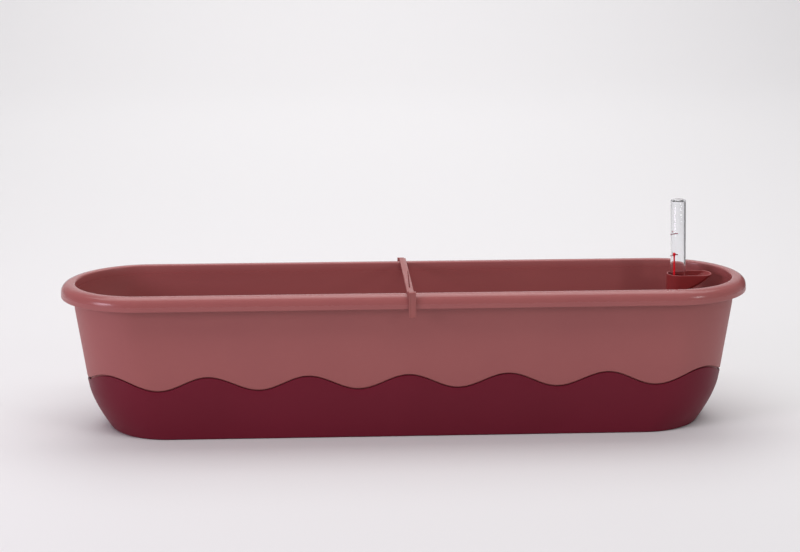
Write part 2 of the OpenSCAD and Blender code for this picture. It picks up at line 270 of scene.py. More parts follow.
clear_plastic = surface("clear_plastic",
                        speckle((0.97, 0.98, 0.99, 1), (0.99, 0.99, 1.0, 1), 20),
                        about(0.03, 0.02, 60), about(0.5, 1.0, 24), 0.0002, 0.02,
                        {"Transmission Weight": 1.0, "IOR": 1.45})
print_ink = surface("print_ink", speckle(linear(206, 34, 84), linear(222, 62, 108), 900),
                    about(0.45, 0.1, 300))
# painted glow: the stem's red plastic emits a little light of its own, though it is no lamp
red_plastic_painted_glow = surface("red_plastic_painted_glow", speckle(linear(242, 14, 36), linear(230, 8, 30), 60),
                      about(0.26, 0.08, 200), about(0.5, 1.0, 500), 0.00005, 0.15,
                      {"Emission Color": linear(230, 12, 34), "Emission Strength": 0.3})
foam = surface("foam", speckle((0.78, 0.78, 0.75, 1), (0.66, 0.66, 0.62, 1), 700),
               about(0.8, 0.15, 400), cells(900), 0.0004, 0.5)
felt = surface("felt", speckle((0.66, 0.65, 0.60, 1), (0.45, 0.44, 0.41, 1), 1500, 5.0),
               about(0.92, 0.1, 800), about(0.5, 1.0, 1300), 0.0006, 0.8,
               {"Sheen Weight": 0.25, "Sheen Roughness": 0.5})
black_plug = surface("black_plug",
                     speckle((0.020, 0.020, 0.022, 1), (0.032, 0.032, 0.035, 1), 240),
                     about(0.5, 0.12, 300), about(0.5, 1.0, 1600), 0.00006, 0.4)


# %% [markdown]
# Walls of the trough and the bowl follow one rule. Seen from above, every level is a
# strip with two round ends. Going down, both its straight length and its end radius
# shrink, and below the joint they tuck in faster. Along the joint, a level isn't flat but
# a wave, which leaves the side at its own pitch and stretches towards the middle of the
# end. So a wall is a section, a short list of corners, swept round that plan. A Geometry
# Nodes tree holds the rule, and a corner only says how high it is, how far in, and
# whether it belongs to the wave or to the rim.

# %% The rule of the walls as a node tree
WALL = {"Wall half width": 76.0, "Wall half length": 368.5, "Side lean": 0.042, "End lean": 0.145,
        "Side tuck": 4.2, "End tuck": 26.5, "Tuck height": 60.0, "Tuck power": 1.65,
        "Steep height": 140.0, "Steep lean": 0.04, "Rim radius": 95.0, "Rim straight": 300.0,
        "Wave height": 66.3, "Wave swing": 7.9, "Wave pitch": 112.5, "Wave count": 3.5,
        "Joint gap": 1.4, "End gap": 2.0}
MAX_LEAD = 1.5


def tucked(z):
    """How far the wall has tucked in at a height: 0 from the joint up, 1 at the ground."""
    return (max(WALL["Tuck height"] - z, 0) / WALL["Tuck height"]) ** WALL["Tuck power"]


def half_width(z):
    """Half the outer width of the wall at a height."""
    lean = WALL["Side lean"] * max(z - WALL["Tuck height"], 0)
    return WALL["Wall half width"] + lean - WALL["Side tuck"] * tucked(z)


def straight_half(z):
    """Half the straight length of the wall at a height below the joint."""
    return WALL["Wall half length"] - WALL["End tuck"] * tucked(z) - half_width(z)


def tree_with(name, sizes, extra=()):
    """An empty geometry tree with a named input for each size."""
    tree = bpy.data.node_groups.new(name, "GeometryNodeTree")
    face = tree.interface
    face.new_socket("Geometry", in_out="INPUT", socket_type="NodeSocketGeometry")
    face.new_socket("Geometry", in_out="OUTPUT", socket_type="NodeSocketGeometry")
    for label, value in sizes.items():
        number = face.new_socket(label, in_out="INPUT", socket_type="NodeSocketFloat")
        number.default_value = value
    for label, kind in extra:
        face.new_socket(label, in_out="INPUT", socket_type=kind)
    return tree


def named(board, label):
    """A number stored on each point of the mesh."""
    return board.add("GeometryNodeInputNamedAttribute", {"data_type": "FLOAT"},
                     {"Name": label})[0]


def finish_tree(board, geometry, material):
    """Ends a tree the way the export needs it: real faces, and the piece's finish."""
    real = board.add("GeometryNodeRealizeInstances", {}, {"Geometry": geometry})[0]
    done = board.add("GeometryNodeSetMaterial", {},
                     {"Geometry": real, "Material": material})[0]
    board.add("NodeGroupOutput", {}, {"Geometry": done})


# What a swept wall's points know: about their section corner, then their step of the plan.
LABELS = ("height", "inset", "on_wave", "on_rim", "gap_way",
          "along", "out_x", "out_y", "past_side")


def wall_tree():
    """The rule that puts every point of a swept wall in its place."""
    tree = tree_with("swept_wall", WALL, [("Material", "NodeSocketMaterial")])
    board = Board(tree)
    size = board.add("NodeGroupInput")
    height, inset, on_wave, on_rim, gap_way, along, out_x, out_y, past = (
        named(board, label) for label in LABELS)
    to_tangent = (size["Wall half length"] - size["Wall half width"]) / size["Wave pitch"]
    left = size["Wave count"] - to_tangent
    lead = (math.pi / 2 * size["Wall half width"] / size["Wave pitch"] / left).at_most(MAX_LEAD)
    turns = along.size() * to_tangent + left * (lead * past - (lead - 1) * past ** 3)
    wave = size["Wave height"] + size["Wave swing"] * (turns * (2 * math.pi)).cosine()
    gap = (size["Joint gap"] + size["End gap"] * past ** 2) / 2
    z = height + on_wave * wave + gap_way * gap
    tuck = ((size["Tuck height"] - z).at_least(0.0) / size["Tuck height"]) ** size["Tuck power"]
    rise = (z - size["Tuck height"]).at_least(0.0)
    steep = (z - size["Steep height"]).at_least(0.0)
    half_w = size["Wall half width"] + size["Side lean"] * rise - size["Side tuck"] * tuck
    half_l = (size["Wall half length"] + size["End lean"] * (rise - steep)
              + size["Steep lean"] * steep - size["End tuck"] * tuck)
    radius = half_w + (size["Rim radius"] - half_w) * on_rim - inset
    reach = (half_l - half_w) + (size["Rim straight"] - (half_l - half_w)) * on_rim
    x = along * reach + out_x * radius
    y = out_y * radius
    place = board.add("ShaderNodeCombineXYZ", {}, {"X": x * MM, "Y": y * MM, "Z": z * MM})[0]
    placed = board.add("GeometryNodeSetPosition", {},
                       {"Geometry": size["Geometry"], "Position": place})[0]
    finish_tree(board, placed, size["Material"])
    return tree


swept_wall_tree = wall_tree()
print("wall tree:", len(swept_wall_tree.nodes), "nodes,", len(WALL), "named sizes")


def apply_tree(piece, tree, settings):
    """Runs a tree on a piece and keeps the plain mesh that comes out."""
    modifier = piece.modifiers.new("shape", "NODES")
    modifier.node_group = tree
    for item in tree.interface.items_tree:
        if item.in_out == "INPUT" and item.name in settings:
            modifier[item.identifier] = settings[item.name]
    piece.data.update()
    return keep_result(piece)


def keep_result(piece):
    """Replaces a piece's mesh by what its modifiers make, and removes them."""
    bpy.context.view_layer.update()
    ready = piece.evaluated_get(bpy.context.evaluated_depsgraph_get())
    mesh = bpy.data.meshes.new_from_object(ready)
    piece.modifiers.clear()
    old = piece.data
    piece.data = mesh
    bpy.data.meshes.remove(old)
    return piece


# %% [markdown]
# The plan of points is laid out once: even steps along each straight side, and even
# angles round each end. A section's corners are rounded before the sweep, because no
# moulded edge is sharp, and a small radius is what catches the light.

# %% Plan, section and sweep
SIDE_STEPS = 150
END_STEPS = 56


def plan_points():
    """Where each step round the plan lies: along, outward direction, share past the side."""
    points = []
    for side in (1, -1):
        for i in range(SIDE_STEPS):
            points.append((side * (2 * i / SIDE_STEPS - 1), 0.0, -side, 0.0))
        for i in range(END_STEPS):
            angle = math.radians(-90 + 180 * i / END_STEPS)
            past = 1 - abs(2 * i / END_STEPS - 1)
            points.append((side, side * math.cos(angle), side * math.sin(angle), past))
    return points


def wall(z, inset=0.0, radius=0.0):
    """A section corner on the wall: height, distance in from the outside, edge radius."""
    return (z, inset, 0, 0, 0, radius)


def joint(way, inset, radius=0.0):
    """A section corner on the wavy joint, on its upper side (1) or its lower side (-1)."""
    return (0, inset, 1, 0, way, radius)


def rim(z, inset, radius=0.0):
    """A section corner on the rolled rim, with the inset from the rim's outline."""
    return (z, inset, 0, 1, 0, radius)


def real_length(a, b):
    """The distance between two section corners, measured in the middle of a long side."""
    def spot(p):
        z = p[0] + p[2] * (WALL["Wave height"] + WALL["Wave swing"]) + p[4] * WALL["Joint gap"] / 2
        half = half_width(z)
        return z, half + (WALL["Rim radius"] - half) * p[3] - p[1]
    (za, ra), (zb, rb) = spot(a), spot(b)
    return max(math.hypot(za - zb, ra - rb), 1e-6)


def rounded(corners, steps=4):
    """Rounds those corners of a closed section that have a radius."""
    out = []
    count = len(corners)
    for k, corner in enumerate(corners):
        here = Vector(corner[:5])
        radius = corner[5]
        if radius <= 0:
            out.append(tuple(here))
            continue
        ends = []
        for other in (Vector(corners[k - 1][:5]), Vector(corners[(k + 1) % count][:5])):
            ends.append(here + (other - here) * min(radius / real_length(here, other), 0.45))
        for s in range(steps + 1):
            t = s / steps
            out.append(tuple(ends[0] * (1 - t) ** 2 + here * 2 * t * (1 - t) + ends[1] * t ** 2))
    return out


def ring_faces(rings, around, closed=True):
    """Faces between rings of points, each ring a closed loop of the same number of points."""
    faces = []
    for j in range(rings if closed else rings - 1):
        for i in range(around):
            a, b = j * around + i, j * around + (i + 1) % around
            c, d = ((j + 1) % rings) * around + (i + 1) % around, ((j + 1) % rings) * around + i
            faces.append((a, b, c, d))
    return faces


def sweep(name, section, material):
    """Sweeps a closed section round the plan with the wall tree."""
    plan = plan_points()
    mesh = bpy.data.meshes.new(name)
    rows = [tuple(level) + tuple(step) for level in section for step in plan]
    mesh.from_pydata([(0, 0, 0)] * len(rows), [], ring_faces(len(section), len(plan)))
    for k, label in enumerate(LABELS):
        store = mesh.attributes.new(label, "FLOAT", "POINT")
        store.data.foreach_set("value", [row[k] for row in rows])
    piece = bpy.data.objects.new(name, mesh)
    scene.collection.objects.link(piece)
    apply_tree(piece, swept_wall_tree, dict(WALL, Material=material))
    for label in LABELS:
        if label in piece.data.attributes:
            piece.data.attributes.remove(piece.data.attributes[label])
    print(name, "has", len(piece.data.polygons), "faces from", len(section), "section points")
    return piece


def soften(piece, sharp_over=38.0):
    """Smooth shading, with true edges where faces turn by more than the angle in degrees."""
    mesh = bmesh.new()
    mesh.from_mesh(piece.data)
    for face in mesh.faces:
        face.smooth = True
    for edge in mesh.edges:
        is_sharp = (len(edge.link_faces) == 2
                    and edge.calc_face_angle(0) > math.radians(sharp_over))
        edge.smooth = not is_sharp
    mesh.to_mesh(piece.data)
    mesh.free()
    return piece


# %% [markdown]
# Booleans join the small solids, such as posts and plates, to a wall, as they are one
# moulding in the real thing. Each operand is a closed solid that reaches a little into
# the wall, because faces that only touch leave cracks.

# %% Joining and cutting
def carve(piece, adds=(), cuts=()):
    """Adds closed solids to a piece, then cuts others from it, and keeps a plain mesh."""
    for operation, tools in (("UNION", adds), ("DIFFERENCE", cuts)):
        for tool in tools:
            modifier = piece.modifiers.new("carve", "BOOLEAN")
            modifier.operation = operation
            modifier.solver = "EXACT"
            modifier.object = tool
    keep_result(piece)
    for tool in list(adds) + list(cuts):
        bpy.data.objects.remove(tool)
    return piece


def as_piece(name, mesh, material=None):
    """Turns a bmesh into a piece of the scene, with its normals pointing outwards."""
    bmesh.ops.recalc_face_normals(mesh, faces=mesh.faces)
    data = bpy.data.meshes.new(name)
    mesh.to_mesh(data)
    mesh.free()
    piece = bpy.data.objects.new(name, data)
    scene.collection.objects.link(piece)
    if material:
        piece.data.materials.append(material)
    return piece


def prism(name, outline, low, high, place=None, material=None):
    """A closed solid with the same flat outline at two heights."""
    mesh = bmesh.new()
    bottom = [mesh.verts.new((x * MM, y * MM, low * MM)) for x, y in outline]
    top = [mesh.verts.new((x * MM, y * MM, high * MM)) for x, y in outline]
    n = len(outline)
    mesh.faces.new(bottom[::-1])
    mesh.faces.new(top)
    for i in range(n):
        mesh.faces.new((bottom[i], bottom[(i + 1) % n], top[(i + 1) % n], top[i]))
    if place:
        bmesh.ops.transform(mesh, matrix=place, verts=mesh.verts)
    return as_piece(name, mesh, material)


def block(name, low, high):
    """A straight-sided solid between two corners, used only to join or to cut."""
    corners = [(low[0], low[1]), (high[0], low[1]), (high[0], high[1]), (low[0], high[1])]
    return prism(name, corners, low[2], high[2])


def loft(name, rings, material=None, closed=True):
    """A mesh through rings of points, as a closed tube, or with both ends capped."""
    mesh = bmesh.new()
    points = [mesh.verts.new(Vector(p) * MM) for ring in rings for p in ring]
    n = len(rings[0])
    for face in ring_faces(len(rings), n, closed):
        mesh.faces.new([points[k] for k in face])
    if not closed:
        mesh.faces.new(points[:n])
        mesh.faces.new(points[-n:])
    return as_piece(name, mesh, material)


def stadium(straight, radius, steps=56):
    """A strip with two round ends, as points round its outline."""
    points = []
    for side in (1, -1):
        for i in range(steps + 1):
            a = math.radians(-90 + 180 * i / steps)
            points.append((side * (straight + radius * math.cos(a)),
                           side * radius * math.sin(a)))
    return points


def lathe(name, profile, place=None, segments=48, material=None):
    """Turns a profile of (radius, height) round an axis, closed at both poles or as a ring."""
    mesh = bmesh.new()
    rings = []
    for radius, height in profile:
        if radius < 1e-6:
            rings.append([mesh.verts.new((0, 0, height * MM))])
        else:
            rings.append([mesh.verts.new((radius * MM * math.cos(2 * math.pi * k / segments),
                                          radius * MM * math.sin(2 * math.pi * k / segments),
                                          height * MM)) for k in range(segments)])
    is_ring = profile[0][0] > 1e-6 and profile[-1][0] > 1e-6
    pairs = list(zip(rings, rings[1:])) + ([(rings[-1], rings[0])] if is_ring else [])
    for a, b in pairs:
        for k in range(segments):
            j = (k + 1) % segments
            if len(a) == 1 and len(b) == 1:
                continue
            if len(a) == 1:
                mesh.faces.new((a[0], b[j], b[k]))
            elif len(b) == 1:
                mesh.faces.new((a[k], a[j], b[0]))
            else:
                mesh.faces.new((a[k], a[j], b[j], b[k]))
    if place:
        bmesh.ops.transform(mesh, matrix=place, verts=mesh.verts)
    return as_piece(name, mesh, material)


def moved(x, y, z=0.0):
    """A shift in millimetres as a matrix."""
    return Matrix.Translation(Vector((x, y, z)) * MM)


def turned(degrees, axis):
    """A turn round an axis as a matrix."""
    return Matrix.Rotation(math.radians(degrees), 4, axis)


def stand_for(piece, body, node):
    """A finished piece rides on its body and takes its node's place."""
    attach(piece, body)
    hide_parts(node)
    print(piece.name, "rides on", body, "with", len(piece.data.polygons), "faces")


# %% [markdown]
# The water bowl: a wall with the wave as its top edge, a bottom plate inside a low foot
# rim, hollow posts that carry the trough, ribs against warping and a boss for the
# overflow in the back wall. Its lowest millimetre is set in, which draws the thin dark
# line of shadow on the ground. The posts repeat, so a second small tree puts one turned
# post on each marked point.

# %% Water bowl
BOWL_T = 2.5
BASE_T = 2.4
FLOOR_Z = 52.0
FLOOR_T = 2.5
POSTS = [(x, y) for x in (-170, 0, 170) for y in (34, -34)] + [(-300, 0), (288, -30)]
FOOT_IN = 1.6

foot = [wall(0.0, FOOT_IN, 0.3), wall(1.0, FOOT_IN), wall(1.1, 0.0, 0.5)]
outside = [wall(z) for z in (2, 4, 7, 10, 14, 18, 22, 26, 30, 35, 41, 47)]
top_edge = [joint(-1, 0.0, 0.7), joint(-1, BOWL_T, 0.6)]
inside = [wall(47, BOWL_T), wall(40, BOWL_T), wall(33, BOWL_T), wall(26, BOWL_T + 0.1),
          wall(20, BOWL_T + 0.2), wall(14, BOWL_T + 0.3), wall(6, BOWL_T + 0.8, 2.0)]
under = [wall(1.2, BOWL_T + 2.4), wall(0.0, BOWL_T + 2.0, 0.5)]
bowl = sweep("bowl", rounded(foot + outside + top_edge + inside + under), bowl_plastic)


def copies_tree(name):
    """Puts a copy of one solid on every point of the mesh it is given."""
    tree = tree_with(name, {}, [("Pattern", "NodeSocketObject"),
                                ("Material", "NodeSocketMaterial")])
    board = Board(tree)
    size = board.add("NodeGroupInput")
    pattern = board.add("GeometryNodeObjectInfo", {}, {"Object": size["Pattern"]})["Geometry"]
    copies = board.add("GeometryNodeInstanceOnPoints", {},
                       {"Points": size["Geometry"], "Instance": pattern})[0]
    finish_tree(board, copies, size["Material"])
    return tree


on_points = copies_tree("copies_on_points")


def repeat(name, pattern, places, material, z=0.0):
    """One mesh with a copy of the pattern at each place."""
    mesh = bpy.data.meshes.new(name)
    mesh.from_pydata([(x * MM, y * MM, z * MM) for x, y in places], [], [])
    piece = bpy.data.objects.new(name, mesh)
    scene.collection.objects.link(piece)
    apply_tree(piece, on_points, {"Pattern": pattern, "Material": material})
    bpy.data.objects.remove(pattern)
    return piece


post = lathe("post", [(0, 1.2), (7, 1.2), (7, FLOOR_Z - 0.8), (6.6, FLOOR_Z - 0.2),
                      (6.2, FLOOR_Z), (4.9, FLOOR_Z), (4.6, FLOOR_Z - 0.4),
                      (4.6, BASE_T + 4), (0, BASE_T + 4)], segments=40)
posts = repeat("posts", post, POSTS, bowl_plastic)
plate = prism("plate", stadium(straight_half(0), half_width(0) - 2.6), 0.6, BASE_T)
ribs = [block("rib", (x - 1.1, -60, 1.2), (x + 1.1, 60, 9)) for x in (-170, 0, 170)]
OVERFLOW_X, OVERFLOW_Z = -200.0, 42.0
BOSS_IN, BOSS_OUT = 68, 76.3
BOSS_R, BORE_R = 8, 4.45
to_back = moved(OVERFLOW_X, 0, OVERFLOW_Z) @ turned(-90, "X")
boss = lathe("boss", [(0, BOSS_IN), (BOSS_R, BOSS_IN), (BOSS_R, BOSS_OUT - 0.5),
                      (BOSS_R - 0.5, BOSS_OUT), (0, BOSS_OUT)], to_back)
bore = lathe("bore", [(0, BOSS_IN - 8), (BORE_R, BOSS_IN - 8), (BORE_R, BOSS_OUT + 3.7),
                      (0, BOSS_OUT + 3.7)], to_back)
carve(bowl, [plate, posts, *ribs, boss], [bore])
soften(bowl)
stand_for(bowl, "bowl", "reservoir_base")


# %% [markdown]
# The trough is the same rule with a longer section. It starts at the skirt inside the
# bowl, steps out at the wave, climbs the wall, turns under the rolled rim, down to its
# lip, up and over the round face to the crown and then down the inside. The floor is
# drilled with a field of drain holes, which are copies of one drill, and slotted for the
# four wicks.

# %% Trough
LEDGE = BOWL_T + 0.6
WALL_T = 2.4
SKIRT = LEDGE + WALL_T
RIM_Z = 170.0
LIP_Z = RIM_Z - 15.3
WICK_X = (-250, -90, 90, 236)
WICK_W, WICK_T, WICK_LIE = 28.0, 3.0, 44.0
GAUGE = (322.6, 24.5)
TUBE_R = 8.85
TUBE_LEAN = 1.7  # degrees, as it stands a little askew in its socket
SHAFT_R = 12.3
SHAFT_LEFT = GAUGE[0] - 13.8
SHAFT = (SHAFT_LEFT + SHAFT_R, GAUGE[1])


FACE_FROM, FACE_DEPTH = LIP_Z + 3.6, 13.8
FACE_STEPS = 14


def rim_face():
    """The round outer face of the rim, from just above the lip to the crown.

    With powers of 1 it would be a quarter of an ellipse; these make it fuller."""
    out = []
    for k in range(FACE_STEPS + 1):
        a = math.radians(90 * k / FACE_STEPS)
        inset = FACE_DEPTH * (1 - math.cos(a) ** 0.72)
        height = FACE_FROM + (RIM_Z - FACE_FROM) * math.sin(a) ** 0.84
        out.append(rim(height, inset))
    return out


skirt = [wall(FLOOR_Z - 2, SKIRT + 0.3, 0.6), wall(FLOOR_Z - 2, LEDGE + 0.3, 0.6),
         joint(1, LEDGE, 0.4), joint(1, 0.0, 0.7)]
outer = [wall(z) for z in (82, 95, 110, 125, 136, 140, 144, 152)] + [wall(161.5, 0, 3.0)]
under_rim = [rim(164.6, 10.0, 2.0), rim(161.5, 4.0, 3.0),
             rim(LIP_Z, 2.4, 0.5), rim(LIP_Z, 0.0, 0.9)]
crown = [rim(RIM_Z - down, inset)
         for down, inset in ((0.15, 14.9), (0.6, 15.8), (1.4, 16.4), (2.4, 16.7))]
inner = [wall(z, WALL_T) for z in (160, 150, 140, 125, 108)]
inner += [wall(90, WALL_T, 4.0), wall(78, SKIRT, 4.0)]
trough = sweep("trough", rounded(skirt + outer + under_rim + rim_face() + crown + inner),
               trough_plastic)


def drain_places():
    """A field of drain holes that keeps clear of posts, wicks and shaft."""
    places = []
    for column in range(-11, 12):
        for row in range(-2, 3):
            x, y = 28 * column, 24 * row
            by_post = any(abs(x - px) < 12 and abs(y - py) < 12 for px, py in POSTS)
            by_wick = any(w - 6 < x < w + WICK_LIE + 5 and abs(y) < WICK_W / 2 + 5 for w in WICK_X)
            by_shaft = x > SHAFT[0] - 24 and y > -4
            if not (by_post or by_wick or by_shaft):
                places.append((x, y))
    return places


FLOOR_TOP = FLOOR_Z + FLOOR_T
floor_radius = half_width(FLOOR_Z) - LEDGE - WALL_T / 2 - 0.2
floor = prism("floor", stadium(straight_half(FLOOR_Z), floor_radius), FLOOR_Z, FLOOR_TOP)
drill = lathe("drill", [(0, -1), (2.5, -1), (2.5, FLOOR_T - 0.3), (2.9, FLOOR_T + 0.1),
                        (2.9, FLOOR_T + 1), (0, FLOOR_T + 1)], segments=20)
drills = repeat("drills", drill, drain_places(), trough_plastic, FLOOR_Z)
SLOT_X, SLOT_Y = WICK_T / 2 + 0.3, WICK_W / 2 + 0.5
slots = [block("slot", (x - SLOT_X, -SLOT_Y, FLOOR_Z - 1), (x + SLOT_X, SLOT_Y, FLOOR_TOP + 1))
         for x in WICK_X]
HOLE_R = SHAFT_R + 0.3
shaft_hole = lathe("shaft_hole", [(0, FLOOR_Z - 1), (HOLE_R, FLOOR_Z - 1),
                                  (HOLE_R, FLOOR_TOP + 1), (0, FLOOR_TOP + 1)],
                   moved(*SHAFT), 64)
carve(floor, [], [drills, *slots, shaft_hole])
carve(trough, [floor])
soften(trough)
stand_for(trough, "trough", "planter_body")
print("drain holes:", len(drain_places()))


# %% [markdown]
# The filler shaft is a tube whose upper end opens sideways into a scoop, so a watering
# can finds it. One rule gives every level: how far the scoop has opened sets the half
# width and the right side, while the left side stays one vertical line. A ring in the
# mouth holds the gauge tube, and slots in the foot let the water out.

# %% Filler shaft
MOUTH_Z, MOUTH_L, MOUTH_W = 164.5, 53.0, 29.0
BEND_Z = MOUTH_Z - 20.5
SHAFT_FOOT, SHAFT_T = 6.0, 1.8
SHAFT_STEPS = 96
SEAT_Z = MOUTH_Z - 17.5


def opened(z):
    """How far the scoop has opened: 0 in the round shaft, 1 at the mouth."""
    return 1 - (1 - min(max((z - BEND_Z) / (MOUTH_Z - BEND_Z), 0), 1)) ** 1.35


def shaft_ring(z, depth):
    """One level of the shaft, moved in from its outside by a depth."""
    share = opened(z)
    half = SHAFT_R + (MOUTH_W / 2 - SHAFT_R) * share
    right = SHAFT_LEFT + 2 * SHAFT_R + (MOUTH_L - 2 * SHAFT_R) * share
    tip = half - 5 * share
    points = []
    for k in range(SHAFT_STEPS):
        a = 2 * math.pi * (k + 0.5) / SHAFT_STEPS
        if math.cos(a) < 0:
            x = SHAFT_LEFT + half + (half - depth) * math.cos(a)
        else:
            x = right - tip + (tip - depth) * math.cos(a)
        points.append((x, GAUGE[1] + (half - depth) * math.sin(a), z))
    return points


levels = [SHAFT_FOOT + 0.4, 40, 80, 120, BEND_Z - 1]
levels += [BEND_Z + 19.6 * k / 24 for k in range(25)]
lip = [(MOUTH_Z - 0.5, 0.05), (MOUTH_Z - 0.15, 0.25), (MOUTH_Z, 0.6)]
rings = [shaft_ring(SHAFT_FOOT, 0.4)] + [shaft_ring(z, 0) for z in levels]
rings += [shaft_ring(z, d) for z, d in lip]
rings += [shaft_ring(z, SHAFT_T - d) for z, d in reversed(lip)]
rings += [shaft_ring(z, SHAFT_T) for z in reversed(levels)]
rings += [shaft_ring(SHAFT_FOOT, SHAFT_T - 0.4)]
shaft = loft("filler", rings, shaft_plastic)
FLANGE_R = 17.5
flange = lathe("flange", [(SHAFT_R - 0.9, FLOOR_TOP), (FLANGE_R, FLOOR_TOP),
                          (FLANGE_R, FLOOR_TOP + 1.4), (FLANGE_R - 0.6, FLOOR_TOP + 2),
                          (SHAFT_R - 0.9, FLOOR_TOP + 2)], moved(*SHAFT), 64)
socket = lathe("socket", [(0, SEAT_Z), (TUBE_R + 3.2, SEAT_Z), (TUBE_R + 3.2, SEAT_Z + 12),
                          (TUBE_R + 2.7, SEAT_Z + 12.5), (0, SEAT_Z + 12.5)], moved(*GAUGE), 64)
bars = []
for degrees in (0, 90):
    bar = block("bar", (-11.5, -1.2, -0.5), (11.5, 1.2, 1.3))
    bar.data.transform(moved(*SHAFT, SHAFT_FOOT + 1) @ turned(degrees, "Z"))
    bars.append(bar)
on_tube = moved(*GAUGE, SEAT_Z + 2) @ turned(-TUBE_LEAN, "Y")
tube_bore = lathe("tube_bore", [(0, 0), (TUBE_R + 0.1, 0), (TUBE_R + 0.1, 10), (TUBE_R + 0.6, 11),
                                (TUBE_R + 0.6, 40), (0, 40)], on_tube, 64)
seat = lathe("seat", [(0, -4), (TUBE_R - 0.95, -4), (TUBE_R - 0.95, 2), (0, 2)], on_tube, 64)
water_slots = []
for degrees in (45, 135):
    cut = block("cut", (-20, -3, 0), (20, 3, 12))
    cut.data.transform(moved(*SHAFT, SHAFT_FOOT + 2.5) @ turned(degrees, "Z"))
    water_slots.append(cut)
carve(shaft, [flange, socket, *bars], [tube_bore, seat, *water_slots])
soften(shaft)
stand_for(shaft, "trough", "filler_shaft")


# %% [markdown]
# The level gauge is a clear blown tube, closed and softly rounded at the top. Two thin
# printed arcs on its back show the low and the high level, each with a small generic
# tick above it. The print is modelled as very thin patches that stand on the tube, so it
# stays sharp at any distance and is part of the mesh.

# %% Gauge tube and its printed marks
TUBE_T = 1.2
TUBE_L = 253.0 - SEAT_Z - 2
tube_in = TUBE_R - TUBE_T
shoulder = [(TUBE_R - 2.5 + 2.5 * math.cos(a), TUBE_L - 2.5 + 2.5 * math.sin(a))
            for a in (math.radians(9 * k) for k in range(11))]
tube = lathe("gauge_glass", [(tube_in, 0), (TUBE_R - 0.3, 0), (TUBE_R, 0.3)] + shoulder
             + [(0, TUBE_L), (0, TUBE_L - 1.8), (tube_in - 1.5, TUBE_L - 1.9),
                (tube_in - 0.5, TUBE_L - 2.3), (tube_in, TUBE_L - 3.4)], on_tube, 96)
tube.data.materials.append(clear_plastic)
soften(tube)
stand_for(tube, "gauge", "gauge_tube")


PRINT_IN, PRINT_OUT = 0.01, 0.07


def printed_patch(mesh, low, high, start, stop, steps):
    """A thin closed patch on the outside of the tube, between two heights and two angles."""
    rows = []
    for radius in (TUBE_R + PRINT_IN, TUBE_R + PRINT_OUT):
        for z in (low, high):
            angles = [math.radians(start + (stop - start) * k / steps) for k in range(steps + 1)]
            spots = [Vector((radius * math.cos(a), radius * math.sin(a), z)) * MM for a in angles]
            rows.append([mesh.verts.new(on_tube @ spot) for spot in spots])
    loop = [rows[0], rows[1], rows[3], rows[2]]
    for one, other in zip(loop, loop[1:] + loop[:1]):
        for k in range(steps):
            mesh.faces.new((one[k], one[k + 1], other[k + 1], other[k]))
    mesh.faces.new([row[0] for row in loop])
    mesh.faces.new([row[-1] for row in loop])


LOW_MARK, HIGH_MARK = 185.6 - SEAT_Z - 2, 211.2 - SEAT_Z - 2
LINE_FROM, LINE_TO = 80, 182  # degrees round the tube, counted from the right
TICK_AT = 134
marks_mesh = bmesh.new()
for level in (LOW_MARK, HIGH_MARK):
    printed_patch(marks_mesh, level - 0.6, level + 0.6, LINE_FROM, LINE_TO, 26)
for level, width in ((HIGH_MARK, 16), (LOW_MARK, 7)):
    printed_patch(marks_mesh, level + 2.0, level + 3.9,
                  TICK_AT - width / 2, TICK_AT + width / 2, 6)
marks = as_piece("gauge_marks", marks_mesh, print_ink)
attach(marks, "gauge")
print("gauge marks:", len(marks.data.polygons), "faces")


# %% [markdown]
# The float is a foam cylinder in the foot of the shaft. Its red stem leans a little, runs
# up through the tube and ends in a flared head, which stands at the marks. The stem is
# turned from a profile and then laid along its leaning axis.

# %% Float stem
stem_from = Vector((SHAFT[0], SHAFT[1], 18.5))
stem_to = Vector((GAUGE[0] - 6.0, GAUGE[1] - 2.4, 188.2))
stem_run = stem_to - stem_from
length = stem_run.length
lean = moved(*stem_from) @ stem_run.to_track_quat("Z", "Y").to_matrix().to_4x4()
shank = [(0, 0), (0.9, 0), (1.1, 0.3), (1.1, 60)]
head = [(1.15, -40), (1.15, -16), (0.9, -7), (0.88, -4.5), (1.08, -2.6), (1.5, -1.2),
        (1.74, -0.3), (1.78, 0.3), (1.62, 0.95), (1.2, 1.45), (0.6, 1.72), (0, 1.8)]
stem = lathe("stem", shank + [(radius, length + past) for radius, past in head], lean, 32,
             red_plastic_painted_glow)
soften(stem, 60)
stand_for(stem, "float", "float_stem")
float_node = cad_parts["float"]
float_node.data.materials.clear()
float_node.data.materials.append(foam)


# %% [markdown]
# The overflow plug is a soft moulding: a ribbed pin, a flange that seals against the
# boss, and a waisted grip. It is turned on one axis that points to the back.

# %% Overflow plug
pin = [(0, BOSS_IN), (3.5, BOSS_IN), (3.9, BOSS_IN + 0.4)]
for bead in (69.6, 71.6, 73.6):
    pin += [(4.15, bead - 0.7), (4.4, bead), (4.15, bead + 0.7)]
flange_and_grip = [(4.2, 0), (6.8, 0), (7.0, 0.3), (7.0, 1.5), (6.5, 2.0), (3.4, 2.1),
                   (2.8, 2.6), (2.7, 3.8), (3.1, 5.2), (3.4, 6.1), (3.2, 6.7), (2.4, 7.0),
                   (0, 7.0)]
plug = lathe("plug", pin + [(radius, BOSS_OUT + out) for radius, out in flange_and_grip],
             to_back, 48, black_plug)
soften(plug)
stand_for(plug, "plug", "overflow_plug")


# %% [markdown]
# Each wick is a strip of needled felt, 3 mm thick. One end lies on the trough's floor
# under the soil, and the rest hangs through a slot into the water. The strip is lofted
# along its path, with soft edges that aren't quite straight, as cut felt is.

# %% Felt wicks
WICK_FOOT, BEND_R = 6, 3.0
EDGE_R = 0.9
HALF_T = 1.45


